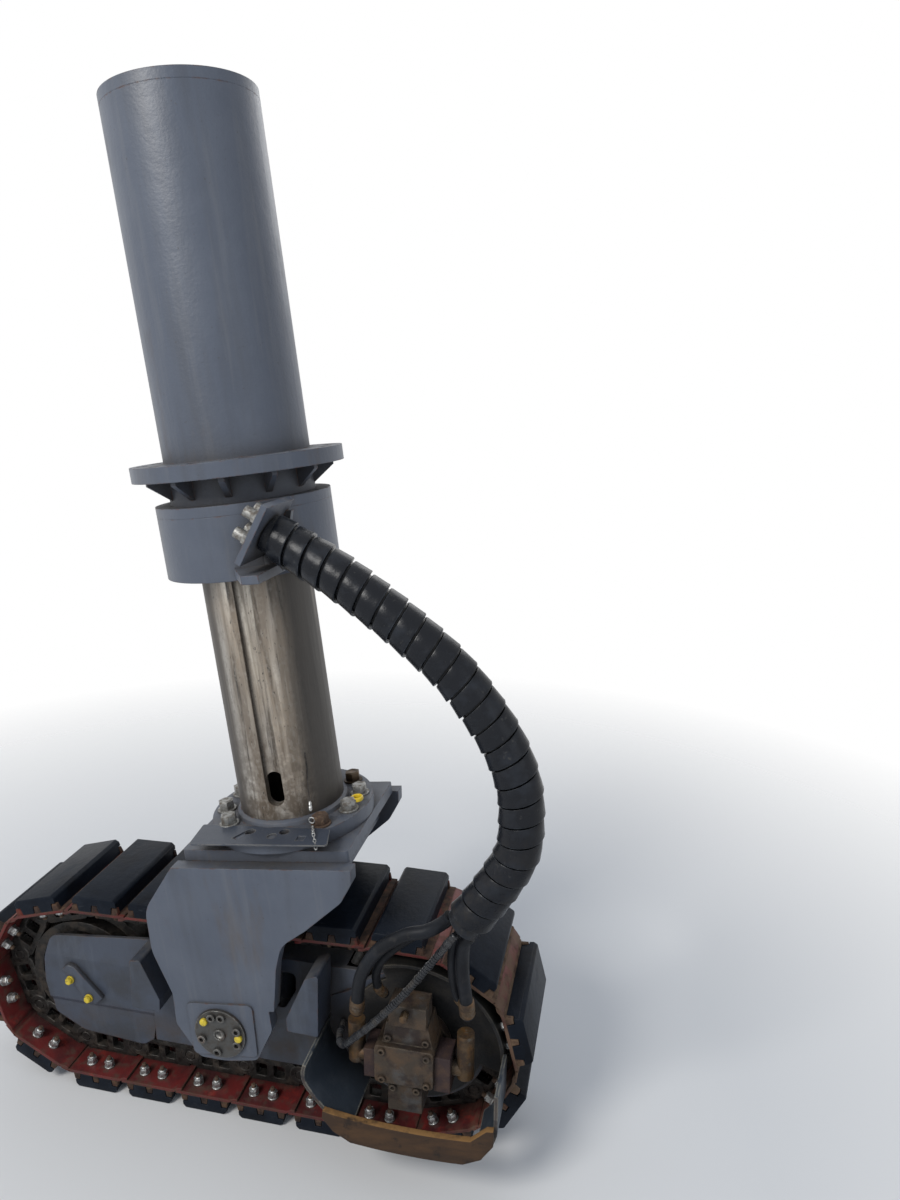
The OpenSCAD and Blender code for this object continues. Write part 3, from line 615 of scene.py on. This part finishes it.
shoe = shoeMesh()
chain = newMesh()
for place in linkPlaces():
    addCopy(chain, shoe, place)
strip = {"half": 3, "overlap": 2}
for place, bend in bendPlaces():  # at the wheels a strip of the shoe's lip closes the gap to the next shoe
    middle = track["shoeIn"] + track["shoeThick"] / 2
    depth, reach = middle * math.cos(bend / 2), middle * math.sin(bend / 2) + strip["overlap"]
    filler = block(-reach, reach, -depth - strip["half"], strip["half"] - depth, -track["halfWidth"],
                   track["halfWidth"])
    addCopy(chain, asMesh(soften(filler, 1)), place, slot=0)
shoes = piece(chain, "trackShoes", [trackRed, cleatRust, zinc, threadRust], "track_body", ["track_chain"],
              smooth=35)
print("shoes", len(shoes.data.polygons))


def cut(bm, cutter):  # boolean difference, solved once on a mesh that is then copied
    objects = []
    for part in (bm, cutter):
        obj = bpy.data.objects.new("cutting", asMesh(part))
        scene.collection.objects.link(obj)
        objects.append(obj)
    modifier = objects[0].modifiers.new("cut", "BOOLEAN")
    modifier.operation = "DIFFERENCE"
    modifier.solver = "EXACT"
    modifier.object = objects[1]
    graph = bpy.context.evaluated_depsgraph_get()
    result = newMesh()
    result.from_mesh(objects[0].evaluated_get(graph).to_mesh())
    for obj in objects:
        bpy.data.objects.remove(obj)
    return result


linkForm = {"outline": [(-65, -34), (65, -34), (69, -12), (61, 20), (49, 27), (-49, 27), (-61, 20), (-69, -12)],
            "openings": (-27, 17), "openingHalf": 14, "openingZ": (-20, 13), "boltHead": (18, 12), "bush": (20, 37),
            "boss": [(0, 0), (11, 0), (11, 1.5), (13, 1.5), (13, 0), (23.5, 0), (25, 1.6), (25, 12), (0, 12)],
            "bossProud": 1.5}


def linkMesh():
    inY, outY, half = track["railIn"], track["railOut"], linkForm["openingHalf"]
    middle = (inY + outY) / 2
    body = slab(linkForm["outline"], -outY, -inY)
    holes = newMesh()
    for x in linkForm["openings"]:
        window = block(x - half, x + half, *linkForm["openingZ"], -outY - 5, -inY + 5)
        addCopy(holes, asMesh(soften(window, 5, 3, 80)))
    body = soften(cut(body, holes), 1.6, 2, 40)
    whole = newMesh()
    addCopy(whole, asMesh(body), slot=0)
    boss = asMesh(lathe(linkForm["boss"], 28))
    alongY = turn(-90, "X")
    addCopy(whole, boss, shift(-pitch / 2, -outY - linkForm["bossProud"], 0) @ alongY, slot=0)
    addCopy(whole, boss, shift(pitch / 2, -middle + 1, 0) @ alongY, slot=0)
    head = asMesh(hexPrism(*linkForm["boltHead"]))
    for x in linkForm["openings"]:
        addCopy(whole, head, shift(x, -middle, -track["shoeIn"]), slot=1)
    radius, length = linkForm["bush"]
    bush = lathe([(0, 0), (radius, 0), (radius, length), (0, length)], 24)
    addCopy(whole, asMesh(moved(bush, shift(-pitch / 2, -length, 0) @ alongY)), slot=0)
    return asMesh(outward(whole))


link = linkMesh()
rails = newMesh()
for place in linkPlaces():
    addCopy(rails, link, place)
    addCopy(rails, link, place @ mirrored)
outward(rails)
rails = piece(rails, "trackLinks", [greasyIron, dullZinc], "track_body", smooth=35)
print("links", len(rails.data.polygons))


padForm = {"notchHalf": 10.5, "tipHalf": 7.5, "notchDepth": 18, "notchLength": 10.5, "rounding": 2.6}


def padMesh():
    base = -track["shoeIn"] - track["shoeThick"]
    top, tip = base - track["padHeight"], base - padForm["notchDepth"]
    half, end = track["padLength"] / 2, track["halfWidth"]
    wide, narrow = padForm["notchHalf"], padForm["tipHalf"]
    body = outward(slab([(-half, base), (half, base), (half - 1, top + 7), (half - 7, top), (-half + 7, top),
                         (-half + 1, top + 7)], -end, end))
    notches = newMesh()
    for side in (-1, 1):
        for x in shoeForm["cleatsX"]:
            notch = slab([(x - wide, base + 2), (x + wide, base + 2), (x + narrow, tip), (x - narrow, tip)],
                         side * (end + 4), side * (end - padForm["notchLength"]))
            addCopy(notches, asMesh(notch))
    body = cut(body, notches)
    tops = [e for e in body.edges if e.calc_face_angle(0) > math.radians(20)
            and all(v.co.z < tip - 2 for v in e.verts)]
    return bevelEdges(body, tops, padForm["rounding"], 3)


pad = asMesh(padMesh())
pads = newMesh()
for place in linkPlaces():
    addCopy(pads, pad, place)
pads = piece(pads, "trackPads", [padRubber], "track_body", ["track_pads"], smooth=35)
print("pads", len(pads.data.polygons))


# Hoses are made straight along Z and bent onto their routes
def smoothRoute(points, per):  # a Catmull-Rom curve through the points
    def knot(i):
        if i < 0:
            return 2 * points[0] - points[1]
        return 2 * points[-1] - points[-2] if i >= len(points) else points[i]
    route = []
    for i in range(len(points) - 1):
        a, b, c, d = knot(i - 1), knot(i), knot(i + 1), knot(i + 2)
        for j in range(per):
            t = j / per
            route.append((2 * b + (c - a) * t + (2 * a - 5 * b + 4 * c - d) * t * t
                          + (3 * b - a - 3 * c + d) * t ** 3) / 2)
    return route + [points[-1]]


class Route:
    def __init__(self, points, per=16):
        self.points = smoothRoute([Vector(p) for p in points], per)
        self.reach = [0.0]
        for p, q in zip(self.points, self.points[1:]):
            self.reach.append(self.reach[-1] + (q - p).length)
        self.length = self.reach[-1]
        tangent = (self.points[1] - self.points[0]).normalized()
        side = tangent.orthogonal().normalized()
        self.frames = []
        for i, p in enumerate(self.points):
            ahead = self.points[min(i + 1, len(self.points) - 1)] - self.points[max(i - 1, 0)]
            tangent = ahead.normalized()
            side = (side - tangent * side.dot(tangent)).normalized()
            self.frames.append((side, tangent.cross(side), tangent))

    def at(self, s):
        s = min(max(s, 0.0), self.length)
        i = next((k for k in range(len(self.reach) - 1) if self.reach[k + 1] >= s), len(self.reach) - 2)
        t = (s - self.reach[i]) / max(self.reach[i + 1] - self.reach[i], 1e-6)
        spot = self.points[i].lerp(self.points[i + 1], t)
        return spot, [a.lerp(b, t).normalized() for a, b in zip(self.frames[i], self.frames[i + 1])]

    def bend(self, bm):
        known = {}
        for v in bm.verts:
            key = round(v.co.z, 2)
            if key not in known:
                known[key] = self.at(v.co.z)
            spot, (side, up, tangent) = known[key]
            extra = v.co.z - min(max(v.co.z, 0.0), self.length)
            v.co = spot + side * v.co.x + up * v.co.y + tangent * extra
        return bm


def tube(radius, z0, z1, segments=20, step=9):
    bm = newMesh()
    bmesh.ops.create_cone(bm, cap_ends=True, segments=segments, radius1=radius, radius2=radius, depth=z1 - z0)
    bmesh.ops.translate(bm, verts=bm.verts, vec=(0, 0, (z0 + z1) / 2))
    long = [e for e in bm.edges if abs(e.verts[0].co.z - e.verts[1].co.z) > 1]
    bmesh.ops.subdivide_edges(bm, edges=long, cuts=max(int((z1 - z0) / step), 1), use_grid_fill=True)
    return bm


spiral = {"radius": 42.5, "inner": 35.5, "pitch": 39.5, "steps": 32, "route": [
    (130, -195, -135), (174, -195, -166), (243, -203, -212), (310, -208, -267), (376, -210, -329), (441, -212, -399),
    (488, -214, -470), (526, -215, -547), (545, -216, -624), (543, -217, -693), (530, -218, -754), (490, -219, -816),
    (436, -220, -881), (410, -220, -907)]}
spiralRoute = Route(spiral["route"])


def spiralMesh():
    r, inner, width = spiral["radius"], spiral["inner"], spiral["pitch"]
    turns = spiralRoute.length / width - 1
    profile = [(inner, 1.6), (r - 3.2, 2.4), (r - 2, 5), (r - 0.8, width * 0.5), (r + 0.3, width - 7),
               (r + 0.9, width - 4), (r + 0.3, width - 2.2), (inner, width - 1.8)]
    bm = newMesh()
    verts = [bm.verts.new((x, 0, z)) for x, z in profile]
    edges = [bm.edges.new(pair) for pair in zip(verts, verts[1:] + verts[:1])]
    steps = int(turns * spiral["steps"])
    bmesh.ops.spin(bm, geom=verts + edges, axis=(0, 0, 1), cent=(0, 0, 0), dvec=(0, 0, width / spiral["steps"]),
                   angle=2 * math.pi * steps / spiral["steps"], steps=steps)
    bmesh.ops.holes_fill(bm, edges=[e for e in bm.edges if e.is_boundary], sides=12)
    outward(bm)
    addCopy(bm, asMesh(tube(inner, 2, spiralRoute.length - 4, 24, 14)))
    return spiralRoute.bend(bm)


def fan(a, b):  # where a hose leaves the guard's end
    end, across, out = Vector(spiral["route"][-1]), Vector((1, 0, -1)).normalized(), Vector((-1, 0, -1)).normalized()
    return [end + a * across + Vector((0, b, 0)) + s * out for s in (3, 20)]


guardPiece = piece(spiralMesh(), "spiralGuard", [guardPlastic], None, ["spiral_guard"], smooth=32)
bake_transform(guardPiece)
print("spiral guard", len(guardPiece.data.polygons))

hoses = {
    "motorHoseLeft": {"node": "motor_hose_left", "radius": 13, "ferrule": 15.5, "route": [
        *fan(-27, 2), (346, -241, -908), (301, -242, -918), (242, -238, -955), (196, -228, -1019), (172, -210, -1090),
        (160, -195, -1130)]},
    "motorHoseRight": {"node": "motor_hose_right", "radius": 13, "ferrule": 16, "route": [
        *fan(24, -6), (403, -214, -975), (398, -212, -1020), (396, -205, -1080), (392, -192, -1130)]},
    "drainHose": {"node": "drain_hose", "radius": 9, "ferrule": 10.5, "route": [
        *fan(-12, 26), (317, -212, -935), (247, -210, -985), (218, -203, -1030), (210, -185, -1080),
        (215, -165, -1110)]},
    "brakeHose": {"node": "brake_hose", "radius": 9, "ferrule": 10.5, "route": [
        *fan(10, 26), (383, -205, -965), (372, -195, -1030), (372, -180, -1095), (386, -160, -1140)]},
}
for name, hose in hoses.items():
    route = Route(hose["route"])
    bm = tube(hose["radius"], 0, route.length, 20, 8)
    r, wide = hose["radius"], hose["ferrule"]
    ferrule = lathe([(r - 1, -46), (r + 0.6, -46), (wide, -43), (wide, -32), (wide - 1, -31), (wide - 1, -28),
                     (wide, -27), (wide, -8), (r * 0.7, -6), (r * 0.7, 0), (0, 0)], 20)
    addCopy(bm, asMesh(moved(ferrule, shift(0, 0, route.length))), slot=1)
    obj = piece(route.bend(bm), name, [hoseRubber, fittingYellow], None, [hose["node"]])
    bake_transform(obj)

conduit = {"radius": 7.5, "rib": 6.6, "bandEvery": 6, "route": [
    *fan(-4, -32), (358, -230, -968), (281, -232, -1055), (214, -222, -1125), (152, -195, -1190), (112, -182, -1226),
    (88, -142, -1238), (80, -91.6, -1240)]}
conduitRoute = Route(conduit["route"])
ribs = []
for i in range(int(conduitRoute.length / conduit["rib"])):  # a corrugated tube with wider bands
    z, r = i * conduit["rib"], conduit["radius"]
    if (i + 1) % conduit["bandEvery"] == 0:
        ribs += [(r - 1, z), (r + 1, z + 0.6), (r + 1, z + 5.6), (r - 1, z + 6.2)]
    else:
        ribs += [(r - 1.6, z), (r - 1.6, z + 1.4), (r, z + 2.2), (r, z + 5.2), (r - 1.6, z + 6)]
bm = conduitRoute.bend(lathe([(0, 0)] + ribs + [(0, conduitRoute.length)], 16))
conduitPiece = piece(bm, "sensorConduit", [ribPlastic], None, ["sensor_conduit"], smooth=30)
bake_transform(conduitPiece)
print("hoses made")

footFinish = {"zinc": zinc, "dull": dullZinc, "rusty": threadRust, "yellow": fittingYellow}
foot = {"circle": 147, "z": -760, "head": 30, "height": 18.5, "washer": 21, "twist": 1.7,
        "kinds": {-45: "rusty", -15: "dull", 15: "dull", 45: "yellow", 75: "dull", 105: "dull", 135: "dull",
                  165: "dull", 195: "dull", 225: "dull"}}
footBolts = newMesh()
bolt = hexBolt(foot["head"], foot["height"], foot["washer"])
for angle, kind in foot["kinds"].items():
    a = math.radians(angle)
    addCopy(footBolts, bolt, shift(foot["circle"] * math.cos(a), foot["circle"] * math.sin(a), foot["z"])
            @ turn(angle * foot["twist"], "Z"), slot=list(footFinish).index(kind))
piece(footBolts, "footBolts", footFinish.values(), "column_body")


def ring(radius, thick):
    points = [math.radians(45 * i) for i in range(9)]
    return lathe([(radius + thick * math.cos(a), thick * math.sin(a)) for a in points], 16)


def wire(points, radius):
    route = Route(points)
    return asMesh(route.bend(tube(radius, 0, route.length, 8, 8)))


# A wire that comes out of a slit in the column and carries a swivel hook with a short chain. The slit is not cut:
# a dark rod on the column's surface stands for it as painted shade
hanging = {"wire": [(80, -79.5, -646), (80, -81, -656), (79, -85, -676), (83, -97, -711)], "wireRadius": 1.3,
           "slitShade": [(79.4, -78.2, -611), (79.4, -78.2, -650)], "slitShadeRadius": 2,
           "hook": [(0, 0), (2, 0.5), (3.4, 4), (3.4, 8), (2.4, 9), (3.6, 11), (3.6, 18), (2, 21), (0, 21)],
           "eye": (6.2, 1.6), "link": (3.6, 1.1), "linkStretch": (0.75, 1.45, 1, 1), "linksPerRun": 5,
           "line": [(83, -97, -711), (88, -111, -734), (93, -124, -754), (109, -160, -750), (128, -199, -763)]}
hanger = newMesh()
addCopy(hanger, wire(hanging["wire"], hanging["wireRadius"]), slot=1)
# painted shade: a dark rod on the column's surface where the slit is
addCopy(hanger, wire(hanging["slitShade"], hanging["slitShadeRadius"]), slot=1)
hook = asMesh(lathe(hanging["hook"], 14))
chainLink = asMesh(ring(*hanging["link"]))
line = [Vector(p) for p in hanging["line"]]
for a, b, part in zip(line, line[1:], ("hook", "eye", "chain", "chain")):
    lean = (b - a).to_track_quat("Z", "Y").to_matrix().to_4x4()
    if part == "hook":
        addCopy(hanger, hook, Matrix.Translation(a) @ lean, slot=0)
    elif part == "eye":
        addCopy(hanger, asMesh(ring(*hanging["eye"])), Matrix.Translation((a + b) / 2) @ faceOut, slot=0)
    else:
        for i in range(hanging["linksPerRun"]):
            middle = a.lerp(b, (i + 0.5) / hanging["linksPerRun"])
            addCopy(hanger, chainLink, Matrix.Translation(middle) @ lean @ turn(90 * (i % 2), "Z") @ faceOut
                    @ Matrix.Diagonal(hanging["linkStretch"]), slot=0)
piece(outward(hanger), "hookChain", [zinc, greasyIron], "column_body")

rim = {"radius": 11, "thick": 3.2, "tall": 1.6, "at": (157, -22, -742)}
capRing = newMesh()
addCopy(capRing, asMesh(moved(ring(rim["radius"], rim["thick"]), Matrix.Diagonal((1, 1, rim["tall"], 1)))),
        shift(*rim["at"]))
piece(capRing, "yellowCapRing", [capYellow], "column_body")

# Screws, caps and a hub on the round cover of the fork's pivot, on both sides
disc = {"y": -200, "circle": 44, "screw": (9.5, 7), "screwAngles": (15, 75, 105, 195, 255, 330), "cap": (8.5, 7),
        "capAngles": (135, 352), "hub": [(0, 0.4), (9, 0.4), (10, 1), (10, 4), (13, 4), (14, 0), (0, 0)]}
discParts = [(socketScrew(*disc["screw"]), disc["screwAngles"]), (dome(*disc["cap"]), disc["capAngles"])]
hub = asMesh(lathe(disc["hub"], 24))
fork = newMesh()
for side in (origin, mirrored):
    for number, (part, angles) in enumerate(discParts):
        for angle in angles:
            a = math.radians(angle)
            addCopy(fork, part, side @ shift(pivot.x + disc["circle"] * math.cos(a), disc["y"],
                                             pivot.z + disc["circle"] * math.sin(a)) @ faceOut, slot=number)
    addCopy(fork, hub, side @ shift(pivot.x, disc["y"], pivot.z) @ faceOut, slot=0)
piece(outward(fork), "pivotScrews", [bareSteel, yellowCap], "column_body")

motor = {"screw": (7.5, 7), "plug": (15, 20), "plugAt": (411, -194, 124), "screwsAt": [
    (362, -200, 31), (457, -200, 30), (362, -200, -36), (457, -200, -36), (372, -186, 55), (452, -186, 55),
    (383, -190, -62), (434, -190, -62)]}
fittings = newMesh()
small = socketScrew(*motor["screw"])
for spot in motor["screwsAt"]:
    addCopy(fittings, small, trackPlace @ shift(*spot) @ faceOut, slot=0)
addCopy(fittings, asMesh(hexPrism(*motor["plug"])), trackPlace @ shift(*motor["plugAt"]) @ faceOut, slot=1)
piece(fittings, "motorScrews", [castIron, fittingYellow], "track_body")


def bentSheet(line, y0, y1, bend, thick):  # a folded plate, its outer line in X and Z
    bm = newMesh()
    verts = [bm.verts.new((x, y0, z)) for x, z in line]
    edges = [bm.edges.new(pair) for pair in zip(verts, verts[1:])]
    grown = bmesh.ops.extrude_edge_only(bm, edges=edges)
    bmesh.ops.translate(bm, verts=[v for v in grown["geom"] if isinstance(v, bmesh.types.BMVert)],
                        vec=(0, y1 - y0, 0))
    folds = [e for e in bm.edges if len(e.link_faces) == 2]
    bevelEdges(bm, folds, bend, 6)
    bmesh.ops.solidify(bm, geom=bm.faces[:], thickness=thick)
    return tidyNormals(bm)


# The bowed guard under the motor: a folded plate on the left, one on the right, and the bar between them
lowGuard = {"thick": 8, "outer": -246, "bar": -260, "bow": 12, "bowMiddle": 428, "bowHalf": 178, "barCuts": 25,
            "plates": [{"line": [(206, 4), (196, -32), (250, -104), (303, -140)], "inner": -89, "bend": 26},
                       {"line": [(604, 10), (604, -96), (566, -140)], "inner": -130, "bend": 22}],
            "barLine": [(252, -86), (250, -104), (274, -130), (310, -146), (545, -146), (582, -130), (606, -96),
                        (606, -60), (592, -60), (560, -88), (300, -88)]}
motorGuard = newMesh()
for plate in lowGuard["plates"]:
    sheet = bentSheet(plate["line"], lowGuard["outer"], plate["inner"], plate["bend"], lowGuard["thick"])
    addCopy(motorGuard, asMesh(soften(sheet, 1, 2, 60)), trackPlace)
bar = slab(lowGuard["barLine"], lowGuard["bar"], lowGuard["outer"])
for x in range(275, 600, lowGuard["barCuts"]):
    bmesh.ops.bisect_plane(bar, geom=bar.verts[:] + bar.edges[:] + bar.faces[:], plane_co=(x, 0, 0),
                           plane_no=(1, 0, 0))
for vert in bar.verts:
    vert.co.z -= lowGuard["bow"] * max(0, 1 - ((vert.co.x - lowGuard["bowMiddle"]) / lowGuard["bowHalf"]) ** 2)
addCopy(motorGuard, asMesh(soften(bar, 1.2, 2, 60)), trackPlace)
piece(motorGuard, "motorGuard", [guardPaint], "track_body", ["motor_guard"], smooth=35)

cover = {"outline": [(-452, 12), (-436, 26), (-420, 22), (-352, -52), (-372, -72), (-398, -62)], "y": (-102, -89),
         "bolt": (15, 7, 10), "boltsAt": ((-431, -12), (-386, -54))}
coverPlate = newMesh()
addCopy(coverPlate, asMesh(soften(slab(cover["outline"], *cover["y"]), 2)), trackPlace, slot=0)
bolt = hexBolt(*cover["bolt"])
for x, z in cover["boltsAt"]:
    addCopy(coverPlate, bolt, trackPlace @ shift(x, cover["y"][0], z) @ faceOut, slot=1)
piece(coverPlate, "coverPlate", [darkPaint, yellowCap], "track_body")
print("fasteners made")

studio = {"floorSize": 30000, "floorGap": 0.5, "floorColor": (0.74, 0.74, 0.73, 1), "floorRough": 0.9,
          "fade": (1.9, 3.4), "sky": (0.78, 0.86, 1.0, 1), "skyStrength": 0.5, "aim": (0, 0, -0.9)}
padFace = chainBottom - track["shoeIn"] - track["shoeThick"] - track["padHeight"]
ground = newMesh()
bmesh.ops.create_grid(ground, x_segments=1, y_segments=1, size=studio["floorSize"])
floorObj = piece(moved(ground, trackPlace @ shift(0, 0, padFace - studio["floorGap"])), "floor", [])
floorFinish = bpy.data.materials.new("floorFinish")
floorFinish.use_nodes = True
tree = floorFinish.node_tree
matt = tree.nodes["Principled BSDF"]
matt.inputs["Base Color"].default_value = studio["floorColor"]
matt.inputs["Roughness"].default_value = studio["floorRough"]
coord = nodeOf(tree, "ShaderNodeTexCoord")
far = nodeOf(tree, "ShaderNodeVectorMath", operation="LENGTH")
tree.links.new(coord.outputs["Object"], far.inputs[0])
clear = nodeOf(tree, "ShaderNodeBsdfTransparent")
fade = mixedShader(tree, ranged(tree, far.outputs["Value"], *studio["fade"]), matt.outputs[0], clear.outputs[0])
tree.links.new(fade, tree.nodes["Material Output"].inputs["Surface"])
floorObj.data.materials.append(floorFinish)

# The sky lights the unit, and the camera and mirrors see plain white
world = bpy.data.worlds.new("studio")
scene.world = world
world.use_nodes = True
tree = world.node_tree
background = tree.nodes["Background"]
background.inputs["Color"].default_value = studio["sky"]
background.inputs["Strength"].default_value = studio["skyStrength"]
white = nodeOf(tree, "ShaderNodeBackground", Color=(1, 1, 1, 1), Strength=1.0)
rays = nodeOf(tree, "ShaderNodeLightPath").outputs
seen = combined(tree, "MAXIMUM", rays["Is Camera Ray"], rays["Is Glossy Ray"])
seen = combined(tree, "MAXIMUM", seen, rays["Is Transmission Ray"])
sky = mixedShader(tree, seen, background.outputs[0], white.outputs[0])
tree.links.new(sky, tree.nodes["World Output"].inputs["Surface"])


def areaLight(name, spot, size, power, color=(1, 1, 1)):
    lamp = bpy.data.lights.new(name, "AREA")
    lamp.shape, lamp.size, lamp.energy, lamp.color = "DISK", size, power, color
    obj = bpy.data.objects.new(name, lamp)
    scene.collection.objects.link(obj)
    obj.location = spot
    obj.rotation_euler = (Vector(studio["aim"]) - Vector(spot)).to_track_quat("-Z", "Y").to_euler()


areaLight("key", (-1.2, -3.2, 2.4), 1.6, 135, (1.0, 0.98, 0.95))
areaLight("fill", (3.4, -2.2, 0.8), 2.6, 12, (0.86, 0.92, 1.0))
areaLight("back", (1.0, 3.4, 1.8), 2.4, 25)

# The photograph's own camera, as worked out from the pavers
view = {"sensor": 36, "focalPixels": 863, "heightPixels": 1200, "near": 0.01, "place": (0.80096, -1.62844, 0.05377),
        "turns": (77.1991, 6.2404, 12.2863)}
camera = bpy.data.objects.new("camera", bpy.data.cameras.new("camera"))
scene.collection.objects.link(camera)
scene.camera = camera
camera.data.sensor_fit = "VERTICAL"
camera.data.sensor_height = view["sensor"]
camera.data.lens = view["sensor"] * view["focalPixels"] / view["heightPixels"]
camera.data.clip_start = view["near"]
camera.location = view["place"]
camera.rotation_euler = [math.radians(a) for a in view["turns"]]

print("scene made")
